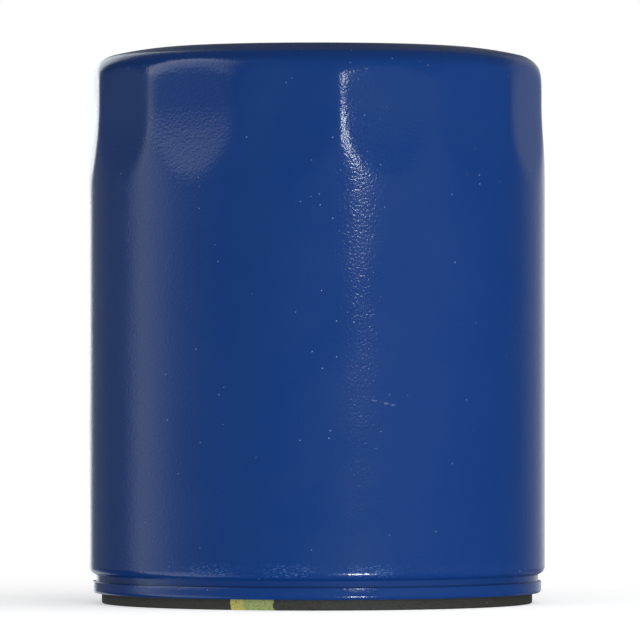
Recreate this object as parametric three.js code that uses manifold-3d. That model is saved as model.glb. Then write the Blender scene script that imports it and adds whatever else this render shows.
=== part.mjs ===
// A spin-on oil filter, standing on its sealing gasket with the fluted dome up.
// Millimetres, +Z up. The origin is on the filter's axis, in the gasket's sealing face.

import * as THREE from 'three';
import { mergeVertices } from 'three/addons/utils/BufferGeometryUtils.js';
import Module from 'manifold-3d';

const wasm = await Module();
wasm.setup();

// ---------- driving dimensions ----------

const GAP = 0.1; // between coaxial faces that touch on the real filter

// the can
const CAN_RADIUS = 38;
const CAN_HEIGHT = 93;
const SHEET = 0.4;
const CROWN_RADIUS = 1000; // the nearly flat middle of the dome
const CROWN_REACH = 22;
const SHOULDER_RADIUS = 60; // between the crown and the corner
const CORNER_RADIUS = 5.2;
const FLUTES = 14;
const RIDGE_ANGLE = THREE.MathUtils.degToRad(5.4); // the first ridge, from the front
const FLUTE_ANGLE = (2 * Math.PI) / FLUTES;
const FLAT_DISTANCE = 37.0; // from the axis to the middle of a flat
const FLAT_END = 82.3; // below this the flats lean out to the wall
const RUN_OUT = 11.8;
const RIDGE_SOFTNESS = THREE.MathUtils.degToRad(2.2); // rounds the ridges between the flats
const OUTER_SEGMENTS = 3 * FLUTES;
const INNER_SEGMENTS = 28;

// the seam at the can's lower edge
const WALL_FOOT = 6.2;
const FOOT_RADIUS = 1.3;
const NECK_RADIUS = 36.9;
const NECK_END = 2.8;
const HOOK_RADIUS = 37.4;
const HOOK_LOW = 1.75;
const HOOK_TOP = 3.75;

// the gasket and the channel that holds it
const GASKET_OUTER = 35.9;
const GASKET_INNER = 31.2;
const GASKET_HEIGHT = 4.9;
const BEAD_INNER = 29.2;
const BEAD_LOW = 2.4;
const LID_INNER = 25.5;

// the base plate, its inlet holes and its thread (metric, 22 by 1.5)
const PLATE_LOW = GASKET_HEIGHT + SHEET + 2 * GAP + 0.1;
const PLATE_FACE = 5.1; // the middle of the plate stands in the lid's opening
const PLATE_FACE_RADIUS = 24.8;
const PLATE_TOP = 8;
const PLATE_RADIUS = 36.7;
const INLETS = 8;
const INLET_RADIUS = 3.2;
const INLET_CIRCLE = 19.6;
const THREAD_PITCH = 1.5;
const THREAD_MAJOR = 11;
const THREAD_MINOR = 10.19;
const THREAD_START = 6.3;
const THREAD_RIDGES = 4;
const HUB_RADIUS = 12.7;
const HUB_TOP = 14;

// the anti-drain-back valve
const COLLAR_RADIUS = 16;
const COLLAR_LOW = 9.4;
const COLLAR_TOP = 14.9;
const LIP_RADIUS = 27;
const LIP_ROOT = 11.6; // height of the flap's underside where it leaves the collar
const LIP_ROOT_THICKNESS = 1.2;
const LIP_EDGE_THICKNESS = 0.8;

// the filter element
const CAP_RADIUS = 33;
const CAP_FLANGE = 4;
const LOWER_CAP = 15;
const UPPER_CAP = 80;
const POTTING = 2;
const TUBE_RADIUS = 16.4;
const TUBE_WALL = 0.5;
const PORT_COLUMNS = 8;
const PORT_ROWS = 5;
const PORT_RADIUS = 2;
const PLEATS = 48;
const PLEAT_OUTER = 31.5;
const PLEAT_INNER = 17.6;
const PAPER = 0.7;

// the bypass valve
const SEAT_INNER = 8;
const SEAT_OUTER = 10.4;
const SEAT_FLANGE = 13;
const CAGE_RADIUS = 11.4;
const CAGE_FLANGE = 13.6;
const CAGE_LOW = 62;
const CAGE_WALL = 0.5;
const CAGE_HOLE = 4;
const WINDOW_WIDTH = 8;
const WINDOW_HEIGHT = 9;
const POPPET_RADIUS = 9.8;
const POPPET_Z = 76.6; // underside of the closed poppet
const POPPET_THICKNESS = 0.8;
const STEM_RADIUS = 2.5;
const STEM_LENGTH = 7;
const SEAL_THICKNESS = 1.1;
const SEAT_RIM = POPPET_Z + POPPET_THICKNESS + SEAL_THICKNESS + 2 * GAP;
const BYPASS_COIL = 6;
const BYPASS_WIRE = 1.2;
const BYPASS_TURNS = 5;

// the spring over the element
const ELEMENT_COIL = 17.5;
const ELEMENT_WIRE = 2.2;
const ELEMENT_TURNS = 2.6;

// ---------- materials ----------

function finish(color, roughness, metalness) {
  return new THREE.MeshStandardMaterial({ color, roughness, metalness });
}

const bluePaint = () => finish(0x1b2f66, 0.3, 0.1);
const platedSteel = () => finish(0xa9a79f, 0.4, 0.9);
const nitrile = () => finish(0x1f1f1d, 0.8, 0);
const paper = () => finish(0xd8c48a, 0.9, 0);
const potting = () => finish(0x8e8a80, 0.7, 0);
const springSteel = () => finish(0x6d6f72, 0.35, 0.9);

// ---------- shapes ----------

/** The points of an arc, from one angle to another (radians), as [radius, height]. */
function arc(centreR, centreZ, radius, from, to, steps) {
  const points = [];
  for (let i = 0; i <= steps; i++) {
    const angle = from + ((to - from) * i) / steps;
    points.push([centreR + radius * Math.cos(angle), centreZ + radius * Math.sin(angle)]);
  }
  return points;
}

/** A closed outline turned round Z; the outline runs anticlockwise in (radius, height). */
function turned(outline, segments = INNER_SEGMENTS) {
  const points = outline.map(([r, z]) => new THREE.Vector2(r, z));
  points.push(points[0].clone());
  return new THREE.LatheGeometry(points, segments, RIDGE_ANGLE).rotateX(Math.PI / 2);
}

/** A plain ring of rectangular section. */
function ring(inner, outer, low, high, segments = INNER_SEGMENTS) {
  return turned([[inner, low], [outer, low], [outer, high], [inner, high]], segments);
}

/** A round wire wound into a coil; both ends are flat coils of half a turn. */
function coil(radius, wire, turns, low, high, stepsPerTurn, sides) {
  const flat = 0.5;
  class Helix extends THREE.Curve {
    getPoint(t) {
      const turn = t * turns;
      const rise = THREE.MathUtils.clamp((turn - flat) / (turns - 2 * flat), 0, 1);
      const z = THREE.MathUtils.lerp(low + wire / 2, high - wire / 2, rise);
      const angle = 2 * Math.PI * turn;
      return new THREE.Vector3(radius * Math.cos(angle), radius * Math.sin(angle), z);
    }
  }
  const section = new THREE.Shape().absarc(0, 0, wire / 2, 0, 2 * Math.PI);
  return new THREE.ExtrudeGeometry(section, {
    steps: Math.round(turns * stepsPerTurn),
    curveSegments: sides,
    extrudePath: new Helix(),
  });
}

function solid(geometry) {
  const bare = geometry.clone();
  bare.deleteAttribute('normal');
  bare.deleteAttribute('uv');
  const merged = mergeVertices(bare, 1e-4);
  const vertProperties = new Float32Array(merged.attributes.position.array);
  const triVerts = new Uint32Array(merged.index.array);
  return new wasm.Manifold(new wasm.Mesh({ numProp: 3, vertProperties, triVerts }));
}

function geometryOf(manifold) {
  const mesh = manifold.getMesh();
  const geometry = new THREE.BufferGeometry();
  geometry.setAttribute('position', new THREE.BufferAttribute(mesh.vertProperties, 3));
  geometry.setIndex(new THREE.BufferAttribute(mesh.triVerts, 1));
  geometry.computeVertexNormals();
  return geometry;
}

function cut(geometry, ...tools) {
  return geometryOf(tools.reduce((left, tool) => left.subtract(solid(tool)), solid(geometry)));
}

/** A round drill standing along Z at (x, y). */
function drill(radius, x, y, low, high, sides = 12) {
  const geometry = new THREE.CylinderGeometry(radius, radius, high - low, sides);
  return geometry.rotateX(Math.PI / 2).translate(x, y, (low + high) / 2);
}

const group = new THREE.Group();

function add(name, geometry, material) {
  const mesh = new THREE.Mesh(geometry, material);
  mesh.name = name;
  group.add(mesh);
}

// ---------- the can ----------

/** The dome from the axis outwards: crown, shoulder and corner arcs, each tangent to the next. */
function domeOutline(inset, crownSteps, shoulderSteps, cornerSteps) {
  const crownAngle = Math.asin(CROWN_REACH / CROWN_RADIUS);
  const reach = CROWN_RADIUS - SHOULDER_RADIUS;
  const shoulderR = reach * Math.sin(crownAngle);
  const shoulderZ = CAN_HEIGHT - CROWN_RADIUS + reach * Math.cos(crownAngle);
  const cornerR = CAN_RADIUS - CORNER_RADIUS;
  const cornerAngle = Math.asin((cornerR - shoulderR) / (SHOULDER_RADIUS - CORNER_RADIUS));
  const cornerZ = shoulderZ + (SHOULDER_RADIUS - CORNER_RADIUS) * Math.cos(cornerAngle);
  const up = Math.PI / 2;
  return [
    ...arc(0, CAN_HEIGHT - CROWN_RADIUS, CROWN_RADIUS - inset, up, up - crownAngle, crownSteps),
    ...arc(shoulderR, shoulderZ, SHOULDER_RADIUS - inset,
      up - crownAngle, up - cornerAngle, shoulderSteps).slice(1),
    ...arc(cornerR, cornerZ, CORNER_RADIUS - inset, up - cornerAngle, 0, cornerSteps).slice(1),
  ];
}

/** How far a flat stands from the axis at a height: full depth on top, fading below. */
function flatDistance(z) {
  const faded = THREE.MathUtils.clamp((FLAT_END - z) / RUN_OUT, 0, 1);
  return THREE.MathUtils.lerp(FLAT_DISTANCE, CAN_RADIUS, faded ** 1.5);
}

function wallHeights(steps) {
  const heights = [];
  for (let i = 0; i <= steps; i++) {
    heights.push(FLAT_END - (RUN_OUT * i) / steps);
  }
  return heights;
}

function canSkin(inset, crownSteps, shoulderSteps, cornerSteps, wallSteps, footSteps) {
  const wall = wallHeights(wallSteps).map((z) => [CAN_RADIUS - inset, z]);
  const centreR = CAN_RADIUS - FOOT_RADIUS;
  const radius = FOOT_RADIUS - inset;
  const foot = arc(centreR, WALL_FOOT, radius, 0, -1.25, footSteps);
  return [
    ...domeOutline(inset, crownSteps, shoulderSteps, cornerSteps),
    ...wall,
    ...foot,
    [NECK_RADIUS - inset, WALL_FOOT - FOOT_RADIUS - 0.1],
    [NECK_RADIUS - inset, NECK_END],
  ];
}

/** Deep-drawn sheet: both skins of the outline are pressed in to the flutes' flats. */
function housingCan() {
  const outer = canSkin(0, 1, 2, 5, 5, 3);
  const inner = canSkin(SHEET, 1, 2, 4, 3, 1);
  const outline = [...outer, ...inner.reverse()].reverse();
  const points = outline.map(([r, z]) => new THREE.Vector2(Math.max(r, 0), z));
  const geometry = new THREE.LatheGeometry(points, OUTER_SEGMENTS, RIDGE_ANGLE);
  geometry.rotateX(Math.PI / 2);
  const position = geometry.attributes.position;
  for (let i = 0; i < position.count; i++) {
    const x = position.getX(i);
    const y = position.getY(i);
    const radius = Math.hypot(x, y);
    const turn = THREE.MathUtils.euclideanModulo(Math.atan2(x, -y) - RIDGE_ANGLE, FLUTE_ANGLE);
    const inset = i % points.length < inner.length ? SHEET : 0;
    const fromRidge = Math.hypot(Math.min(turn, FLUTE_ANGLE - turn), RIDGE_SOFTNESS);
    const fromMiddle = Math.max(FLUTE_ANGLE / 2 - fromRidge, 0);
    const limit = (flatDistance(position.getZ(i)) - inset) / Math.cos(fromMiddle);
    if (radius > limit) {
      position.setXY(i, (x * limit) / radius, (y * limit) / radius);
    }
  }
  return geometry;
}

// ---------- the seam, the gasket and the base plate ----------

/** One sheet: the hook round the can's neck, the gasket's channel, a bead and the weld flange. */
function gasketRetainer() {
  const channelOuter = GASKET_OUTER + GAP;
  const channelInner = GASKET_INNER - GAP;
  const floor = GASKET_HEIGHT + GAP;
  const roof = floor + SHEET;
  return turned([
    [HOOK_RADIUS - SHEET, HOOK_TOP],
    [HOOK_RADIUS - SHEET, HOOK_LOW + SHEET],
    [channelOuter + SHEET, HOOK_LOW + SHEET],
    [channelOuter + SHEET, roof],
    [channelInner - SHEET, roof],
    [channelInner - SHEET, BEAD_LOW + SHEET],
    [BEAD_INNER + SHEET, BEAD_LOW + SHEET],
    [BEAD_INNER + SHEET, roof],
    [LID_INNER, roof],
    [LID_INNER, floor],
    [BEAD_INNER, floor],
    [BEAD_INNER, BEAD_LOW + 0.3],
    [BEAD_INNER + 0.3, BEAD_LOW],
    [channelInner - 0.3, BEAD_LOW],
    [channelInner, BEAD_LOW + 0.3],
    [channelInner, floor],
    [channelOuter, floor],
    [channelOuter, HOOK_LOW + 0.3],
    [channelOuter + 0.3, HOOK_LOW],
    [HOOK_RADIUS - 0.4, HOOK_LOW],
    [HOOK_RADIUS, HOOK_LOW + 0.4],
    [HOOK_RADIUS, HOOK_TOP - 0.2],
  ], OUTER_SEGMENTS);
}

/** Soft compound in the bottom of the retainer's hook, under the can's edge. */
function seamCompound() {
  const low = HOOK_LOW + SHEET + GAP;
  return ring(NECK_RADIUS - SHEET, NECK_RADIUS, low, NECK_END - GAP, OUTER_SEGMENTS);
}

function sealingGasket() {
  const round = 0.5;
  return turned([
    [GASKET_INNER, round],
    [GASKET_INNER + round, 0],
    [GASKET_OUTER - round, 0],
    [GASKET_OUTER, round],
    [GASKET_OUTER, GASKET_HEIGHT],
    [GASKET_INNER, GASKET_HEIGHT],
  ], OUTER_SEGMENTS);
}

/** The thread's ridges one above another, each as four points up its section. */
function threadOutline() {
  const points = [];
  for (let ridge = 0; ridge < THREAD_RIDGES; ridge++) {
    points.push([THREAD_MAJOR, -7 / 16], [THREAD_MINOR, -1 / 8]);
    points.push([THREAD_MINOR, 1 / 8], [THREAD_MAJOR, 7 / 16]);
  }
  return points;
}

/**
 * Winds the ridges onto their right-handed helix: each runs into the next after a turn, and the
 * thread fades in and out at its ends. The turned outline has count points, the ridges' points
 * run down from the one numbered first, and each ridge's height is still an offset in pitches.
 */
function windThread(geometry, count, first) {
  const position = geometry.attributes.position;
  const start = THREAD_START + THREAD_PITCH / 2;
  const end = start + THREAD_RIDGES * THREAD_PITCH;
  for (let i = 0; i < position.count; i++) {
    const step = (i % count) - first;
    if (step < 0 || step >= 4 * THREAD_RIDGES) {
      continue;
    }
    const ridge = THREAD_RIDGES - 1 - Math.floor(step / 4);
    const turn = Math.floor(i / count) / INNER_SEGMENTS;
    const fadeIn = ridge === 0 ? turn : 1;
    const fadeOut = ridge === THREAD_RIDGES - 1 ? 1 - turn : 1;
    const [x, y, offset] = [position.getX(i), position.getY(i), position.getZ(i)];
    const radius = Math.hypot(x, y);
    const faded = THREE.MathUtils.lerp(THREAD_MAJOR, radius, Math.min(fadeIn, fadeOut));
    const height = start + THREAD_PITCH * (ridge + turn + offset);
    const low = THREE.MathUtils.lerp(THREAD_START, height, fadeIn);
    const z = THREE.MathUtils.lerp(end + THREAD_PITCH / 2, low, fadeOut);
    position.setXYZ(i, (x * faded) / radius, (y * faded) / radius, z);
  }
}

/** Pressed plate with a burred hub; the oil goes in by the ring of holes and out by the thread. */
function basePlate() {
  const fillet = 1.2;
  const threadEnd = THREAD_START + (THREAD_RIDGES + 1) * THREAD_PITCH;
  const rest = [
    [THREAD_MAJOR, THREAD_START],
    [THREAD_MAJOR + 0.3, PLATE_FACE + 0.6],
    [THREAD_MAJOR + 1.3, PLATE_FACE],
    [PLATE_FACE_RADIUS, PLATE_FACE],
    [PLATE_FACE_RADIUS, PLATE_LOW],
    [PLATE_RADIUS, PLATE_LOW],
    [PLATE_RADIUS, PLATE_TOP],
    ...arc(HUB_RADIUS + fillet, PLATE_TOP + fillet, fillet, -Math.PI / 2, -Math.PI, 2),
    [HUB_RADIUS, HUB_TOP],
    [THREAD_MAJOR + 0.4, HUB_TOP],
    [THREAD_MAJOR, threadEnd],
  ];
  const blank = turned([...rest, ...threadOutline().reverse()]);
  windThread(blank, rest.length + 4 * THREAD_RIDGES + 1, rest.length);
  const inlets = [];
  for (let i = 0; i < INLETS; i++) {
    const angle = (2 * Math.PI * i) / INLETS;
    const x = INLET_CIRCLE * Math.cos(angle);
    const y = INLET_CIRCLE * Math.sin(angle);
    inlets.push(drill(INLET_RADIUS, x, y, PLATE_FACE - 2, PLATE_TOP + 2));
  }
  return cut(blank, ...inlets);
}

/** The thick middle of the rubber valve: it grips the hub and carries the element. */
function valveCollar() {
  const inner = HUB_RADIUS + 0.15;
  const chamfer = 0.4;
  return turned([
    [inner, COLLAR_LOW],
    [COLLAR_RADIUS, COLLAR_LOW],
    [COLLAR_RADIUS, COLLAR_TOP - chamfer],
    [COLLAR_RADIUS - chamfer, COLLAR_TOP],
    [inner, COLLAR_TOP],
  ]);
}

/** The valve's flap: a shallow cone that lies on the plate outside the inlet holes. */
function valveLip() {
  const seat = PLATE_TOP + GAP;
  const land = 1.5; // the flat edge that seals on the plate
  const inner = COLLAR_RADIUS + 0.15;
  return turned([
    [inner, LIP_ROOT],
    [LIP_RADIUS - land, seat],
    [LIP_RADIUS, seat],
    [LIP_RADIUS, seat + LIP_EDGE_THICKNESS],
    [LIP_RADIUS - land, seat + LIP_ROOT_THICKNESS],
    [inner, LIP_ROOT + LIP_ROOT_THICKNESS],
  ]);
}

// ---------- the element ----------

/** An end cap as a shallow dish, its open side up; the upper one is turned over. */
function dish(bore, floor) {
  const bend = 0.6;
  return [
    [bore, floor],
    [CAP_RADIUS - bend, floor],
    [CAP_RADIUS, floor + bend],
    [CAP_RADIUS, floor + CAP_FLANGE],
    [CAP_RADIUS - SHEET, floor + CAP_FLANGE],
    [CAP_RADIUS - SHEET, floor + SHEET],
    [bore, floor + SHEET],
  ];
}

function lowerEndCap() {
  return turned(dish(HUB_RADIUS + 0.3, LOWER_CAP));
}

function upperEndCap() {
  const roof = UPPER_CAP + SHEET;
  const turnedOver = dish(SEAT_OUTER + GAP, 0).map(([r, z]) => [r, roof - z]);
  return turned(turnedOver.reverse());
}

function pottingRing(low) {
  return ring(TUBE_RADIUS + GAP, CAP_RADIUS - SHEET - GAP, low, low + POTTING);
}

/** A point of the pleated ring; the folds alternate between the outer and inner radius. */
function pleatPoint(fold, shift, outward) {
  const angle = (Math.PI * fold) / PLEATS;
  const outerFold = fold % 2 === 0;
  const tip = outerFold ? PLEAT_OUTER : PLEAT_INNER;
  const radius = outerFold === outward ? tip : tip + (outward ? shift : -shift);
  return new THREE.Vector2(radius * Math.cos(angle), radius * Math.sin(angle));
}

/** The paper as one folded band, with about the same thickness across every leg. */
function pleatedMedia(low, high) {
  const middle = (PLEAT_OUTER + PLEAT_INNER) / 2;
  const legAngle = Math.atan2((Math.PI / PLEATS) * middle, PLEAT_OUTER - PLEAT_INNER);
  const shift = PAPER / Math.sin(legAngle);
  const shape = new THREE.Shape();
  const hole = new THREE.Path();
  const outside = [];
  const inside = [];
  for (let fold = 0; fold < 2 * PLEATS; fold++) {
    outside.push(pleatPoint(fold, shift, true));
    inside.push(pleatPoint(fold, shift, false));
  }
  shape.setFromPoints(outside);
  hole.setFromPoints(inside.reverse());
  shape.holes.push(hole);
  const bevelEnabled = false;
  const geometry = new THREE.ExtrudeGeometry(shape, { depth: high - low, bevelEnabled });
  return geometry.translate(0, 0, low);
}

/** A folded strip over the tip of the pleat where the paper's two ends meet. */
function seamClip(low, high) {
  const legRadius = PLEAT_OUTER - 4.5;
  const inside = PLEAT_OUTER + 0.15;
  const outside = inside + 0.3;
  const halfTip = 0.9;
  const halfFoot = 1.75;
  const wall = 0.3;
  const shape = new THREE.Shape([
    new THREE.Vector2(legRadius, halfFoot - wall),
    new THREE.Vector2(inside, halfTip - wall),
    new THREE.Vector2(inside, wall - halfTip),
    new THREE.Vector2(legRadius, wall - halfFoot),
    new THREE.Vector2(legRadius, -halfFoot),
    new THREE.Vector2(outside, -halfTip),
    new THREE.Vector2(outside, halfTip),
    new THREE.Vector2(legRadius, halfFoot),
  ]);
  const geometry = new THREE.ExtrudeGeometry(shape, { depth: high - low, bevelEnabled: false });
  return geometry.translate(0, 0, low);
}

/** Perforated steel tube that holds the pleats out against the oil's pressure. */
function centreTube(low, high) {
  const blank = ring(TUBE_RADIUS - TUBE_WALL, TUBE_RADIUS, low, high, 2 * PORT_COLUMNS);
  const ports = [];
  const rowSpacing = (high - low) / (PORT_ROWS + 1);
  for (let row = 1; row <= PORT_ROWS; row++) {
    for (let column = 0; column < PORT_COLUMNS; column++) {
      const facet = 2 * column + (row % 2) + 0.5;
      const port = new THREE.CylinderGeometry(PORT_RADIUS, PORT_RADIUS, 4, 8);
      port.translate(0, -TUBE_RADIUS, 0);
      port.rotateZ(RIDGE_ANGLE + (Math.PI * facet) / PORT_COLUMNS);
      ports.push(port.translate(0, 0, low + row * rowSpacing));
    }
  }
  return cut(blank, ...ports);
}

// ---------- the bypass valve ----------

/** Turned ring in the upper cap's hole; the poppet's seal closes against its lower rim. */
function bypassSeat() {
  const flangeLow = UPPER_CAP + SHEET + GAP;
  const flangeTop = flangeLow + 0.6;
  return turned([
    [SEAT_INNER, SEAT_RIM],
    [SEAT_OUTER, SEAT_RIM],
    [SEAT_OUTER, flangeLow],
    [SEAT_FLANGE, flangeLow],
    [SEAT_FLANGE, flangeTop],
    [SEAT_INNER, flangeTop],
  ]);
}

/** Cup with side windows, welded under the upper cap. */
function bypassCage() {
  const top = UPPER_CAP - GAP;
  const bend = 0.8;
  const blank = turned([
    [CAGE_HOLE, CAGE_LOW],
    [CAGE_RADIUS - bend, CAGE_LOW],
    [CAGE_RADIUS, CAGE_LOW + bend],
    [CAGE_RADIUS, top - CAGE_WALL],
    [CAGE_FLANGE, top - CAGE_WALL],
    [CAGE_FLANGE, top],
    [CAGE_RADIUS - CAGE_WALL, top],
    [CAGE_RADIUS - CAGE_WALL, CAGE_LOW + CAGE_WALL],
    [CAGE_HOLE, CAGE_LOW + CAGE_WALL],
  ]);
  const windows = [0, Math.PI / 2].map((angle) => {
    const box = new THREE.BoxGeometry(4 * CAGE_RADIUS, WINDOW_WIDTH, WINDOW_HEIGHT);
    return box.translate(0, 0, CAGE_LOW + WINDOW_HEIGHT).rotateZ(angle);
  });
  return cut(blank, ...windows);
}

function bypassPoppet() {
  const top = POPPET_Z + POPPET_THICKNESS;
  return turned([
    [0, POPPET_Z - STEM_LENGTH],
    [STEM_RADIUS, POPPET_Z - STEM_LENGTH],
    [STEM_RADIUS, POPPET_Z],
    [POPPET_RADIUS, POPPET_Z],
    [POPPET_RADIUS, top],
    [0, top],
  ], 24);
}

// ---------- the assembly ----------

const tubeLow = LOWER_CAP + SHEET + GAP;
const tubeHigh = UPPER_CAP - GAP;
const mediaLow = tubeLow + POTTING + GAP;
const mediaHigh = tubeHigh - POTTING - GAP;
const domeInside = CAN_HEIGHT - SHEET - 0.2; // at the element spring's radius
const sealLow = POPPET_Z + POPPET_THICKNESS + GAP;
const bypassSpring = coil(BYPASS_COIL, BYPASS_WIRE, BYPASS_TURNS,
  CAGE_LOW + CAGE_WALL + GAP, POPPET_Z - GAP, 14, 2);
const elementSpring = coil(ELEMENT_COIL, ELEMENT_WIRE, ELEMENT_TURNS,
  UPPER_CAP + SHEET + GAP, domeInside - GAP, 20, 3);

add('housing_can', housingCan(), bluePaint());
add('gasket_retainer', gasketRetainer(), bluePaint());
add('seam_compound', seamCompound(), potting());
add('sealing_gasket', sealingGasket(), nitrile());
add('base_plate', basePlate(), platedSteel());
add('drainback_valve_collar', valveCollar(), nitrile());
add('drainback_valve_lip', valveLip(), nitrile());
add('lower_end_cap', lowerEndCap(), platedSteel());
add('lower_potting', pottingRing(tubeLow), potting());
add('pleated_media', pleatedMedia(mediaLow, mediaHigh), paper());
add('media_seam_clip', seamClip(mediaLow, mediaHigh), platedSteel());
add('centre_tube', centreTube(tubeLow, tubeHigh - CAGE_WALL - GAP), platedSteel());
add('upper_potting', pottingRing(tubeHigh - POTTING), potting());
add('upper_end_cap', upperEndCap(), platedSteel());
add('bypass_seat', bypassSeat(), platedSteel());
add('bypass_cage', bypassCage(), platedSteel());
add('bypass_spring', bypassSpring, springSteel());
add('bypass_poppet', bypassPoppet(), platedSteel());
add('bypass_seal', ring(STEM_RADIUS + GAP, POPPET_RADIUS, sealLow, sealLow + SEAL_THICKNESS, 24),
  nitrile());
add('element_spring', elementSpring, springSteel());

export default group;
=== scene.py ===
"""A spin-on oil filter that stands on its gasket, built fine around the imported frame."""

import math

import bmesh
import bpy
from mathutils import Matrix, Vector, noise


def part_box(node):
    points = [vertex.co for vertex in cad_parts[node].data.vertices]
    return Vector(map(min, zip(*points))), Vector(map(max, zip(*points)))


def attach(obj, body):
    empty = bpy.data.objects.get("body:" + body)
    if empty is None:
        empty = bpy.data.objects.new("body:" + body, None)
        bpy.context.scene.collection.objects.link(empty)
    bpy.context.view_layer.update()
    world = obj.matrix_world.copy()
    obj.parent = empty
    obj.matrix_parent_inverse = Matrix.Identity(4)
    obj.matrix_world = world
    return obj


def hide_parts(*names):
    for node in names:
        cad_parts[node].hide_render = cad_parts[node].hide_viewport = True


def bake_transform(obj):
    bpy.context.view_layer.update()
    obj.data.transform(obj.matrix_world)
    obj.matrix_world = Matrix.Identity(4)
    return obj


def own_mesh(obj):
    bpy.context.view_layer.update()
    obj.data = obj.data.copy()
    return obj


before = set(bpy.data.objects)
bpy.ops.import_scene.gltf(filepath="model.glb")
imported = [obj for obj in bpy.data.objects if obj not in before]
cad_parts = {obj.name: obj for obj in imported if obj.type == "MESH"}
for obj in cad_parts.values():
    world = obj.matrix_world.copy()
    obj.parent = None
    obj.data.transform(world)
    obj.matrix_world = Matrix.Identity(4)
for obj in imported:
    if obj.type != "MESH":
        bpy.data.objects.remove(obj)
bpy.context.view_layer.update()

# ---------- sizes, in millimetres and degrees ----------

MM = 0.001
SHEET = 0.4
GAP = 0.1

FLUTES = 14
FIRST_RIDGE = 5.4
RIDGE_SOFTNESS = 2.2
FLAT_DISTANCE = 37.0
FLAT_END = 82.3
RUN_OUT = 11.8
DOME_START = 85.0
WALL_SOFTNESS = 0.1
DOME_SOFTNESS = 0.3
CROWN_RADIUS = 1000.0
CROWN_REACH = 22.0
SHOULDER_RADIUS = 60.0
CORNER_RADIUS = 5.2
WALL_FOOT = 6.2
FOOT_RADIUS = 1.3
NECK_RADIUS = 36.9

HOOK_RADIUS = 37.2
HOOK_TOP = 3.75
CHANNEL_RADIUS = 36.2
BEAD_OUTER = 30.9
BEAD_INNER = 29.4
BEAD_LOW = 2.6
FLANGE_HEIGHT = 5.2
WELDS = 12
WELD_CIRCLE = 27.3

PLATE_FACE_RADIUS = 24.8
PLATE_LOW = 5.6
PLATE_TOP = 8.0
HUB_RADIUS = 12.7
THREAD_PITCH = 1.5
THREAD_MAJOR = 11.0
THREAD_MINOR = 10.19
THREAD_START = 6.3
THREAD_RIDGES = 4
INLETS = 8
INLET_RADIUS = 3.2
INLET_CIRCLE = 19.6

VALVE_COLLAR = 16.0
LIP_ROOT = 11.6
LIP_LAND = 1.5

PORT_COLUMNS = 8
PORT_ROWS = 5
PORT_RADIUS = 2.0
TUBE_WALL = 0.5
PLEATS = 48
PAPER = 0.5
OUTER_FOLD = 0.4
INNER_FOLD = 0.45

CAGE_WALL = 0.5
CAGE_RADIUS = 11.4
WINDOW_WIDTH = 8.0
WINDOW_HEIGHT = 9.0
STEM_RADIUS = 2.5

DAB_START = -23.1
DAB_CHANGE = -19.6
DAB_END = -11.3


def span(node):
    """(inner radius, outer radius, low, high) of a CAD node round the axis, in millimetres."""
    reaches = [math.hypot(v.co.x, v.co.y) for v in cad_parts[node].data.vertices]
    low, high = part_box(node)
    return min(reaches) / MM, max(reaches) / MM, low.z / MM, high.z / MM


_, CAN_RADIUS, CAN_LOW, CAN_TOP = span("housing_can")


# ---------- outlines, as (radius, height) points ----------


def arc(centre_r, centre_z, radius, start, end, steps):
    """Points of an arc; the angles are in degrees, turning from outwards to upwards."""
    points = []
    for i in range(steps + 1):
        angle = math.radians(start + (end - start) * i / steps)
        points.append((centre_r + radius * math.cos(angle), centre_z + radius * math.sin(angle)))
    return points


def fillet(before, corner, after, radius, steps):
    """The points that round the corner between two straight edges."""
    corner = Vector(corner[:2])
    into = corner - Vector(before[:2])
    out = Vector(after[:2]) - corner
    turn = math.atan2(into.x * out.y - into.y * out.x, into.dot(out))
    if radius <= 0 or abs(turn) < 0.02:
        return [tuple(corner)]
    cut = radius * math.tan(abs(turn) / 2)
    room = 0.46 * min(into.length, out.length)
    if cut > room:
        radius *= room / cut
        cut = room
    along = into.normalized()
    start = corner - along * cut
    centre = start + Vector((-along.y, along.x)) * math.copysign(radius, turn)
    spoke = start - centre
    return [tuple(centre + Matrix.Rotation(turn * i / steps, 2) @ spoke) for i in range(steps + 1)]


def rounded(corners, radius=0.0, steps=4):
    """A closed outline; a corner given as (r, z, own radius) is rounded by its own radius."""
    outline = []
    count = len(corners)
    for i, corner in enumerate(corners):
        own = corner[2] if len(corner) > 2 else radius
        outline += fillet(corners[i - 1], corner, corners[(i + 1) % count], own, steps)
    return outline


def bent(path, radius, steps=6):
    """An open path with its corners bent to one radius."""
    points = [path[0]]
    for before, corner, after in zip(path, path[1:], path[2:]):
        points += fillet(before, corner, after, radius, steps)
    return points + [path[-1]]


def offset(path, distance):
    """An open path moved to its left."""
    moved = []
    for i, point in enumerate(path):
        here = Vector(point)
        edges = []
        if i > 0:
            edges.append((here - Vector(path[i - 1])).normalized())
        if i < len(path) - 1:
            edges.append((Vector(path[i + 1]) - here).normalized())
        normals = [Vector((-edge.y, edge.x)) for edge in edges]
        middle = (normals[0] + normals[-1]).normalized()
        moved.append(tuple(here + middle * distance / max(middle.dot(normals[0]), 0.5)))
    return moved


def sheet_outline(path, thickness, dulled=0.35):
    """The closed outline of sheet bent along its middle line; its cut edges are dulled."""
    sides = offset(path, -thickness / 2) + offset(path, thickness / 2)[::-1]
    ends = (0, len(path) - 1, len(path), 2 * len(path) - 1)
    corners = [(r, z, dulled * thickness if i in ends else 0.0) for i, (r, z) in enumerate(sides)]
    return rounded(corners, steps=3)


def anticlockwise(outline):
    """The closed outline itself, or the other way round if it runs clockwise."""
    pairs = zip(outline, outline[1:] + outline[:1])
    area = sum(a[0] * b[1] - b[0] * a[1] for a, b in pairs) / 2
    return outline if area > 0 else outline[::-1]


# ---------- meshes ----------


def shade(piece, sharp):
    piece.data.shade_smooth()
    piece.data.set_sharp_from_angle(angle=math.radians(sharp))


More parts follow.
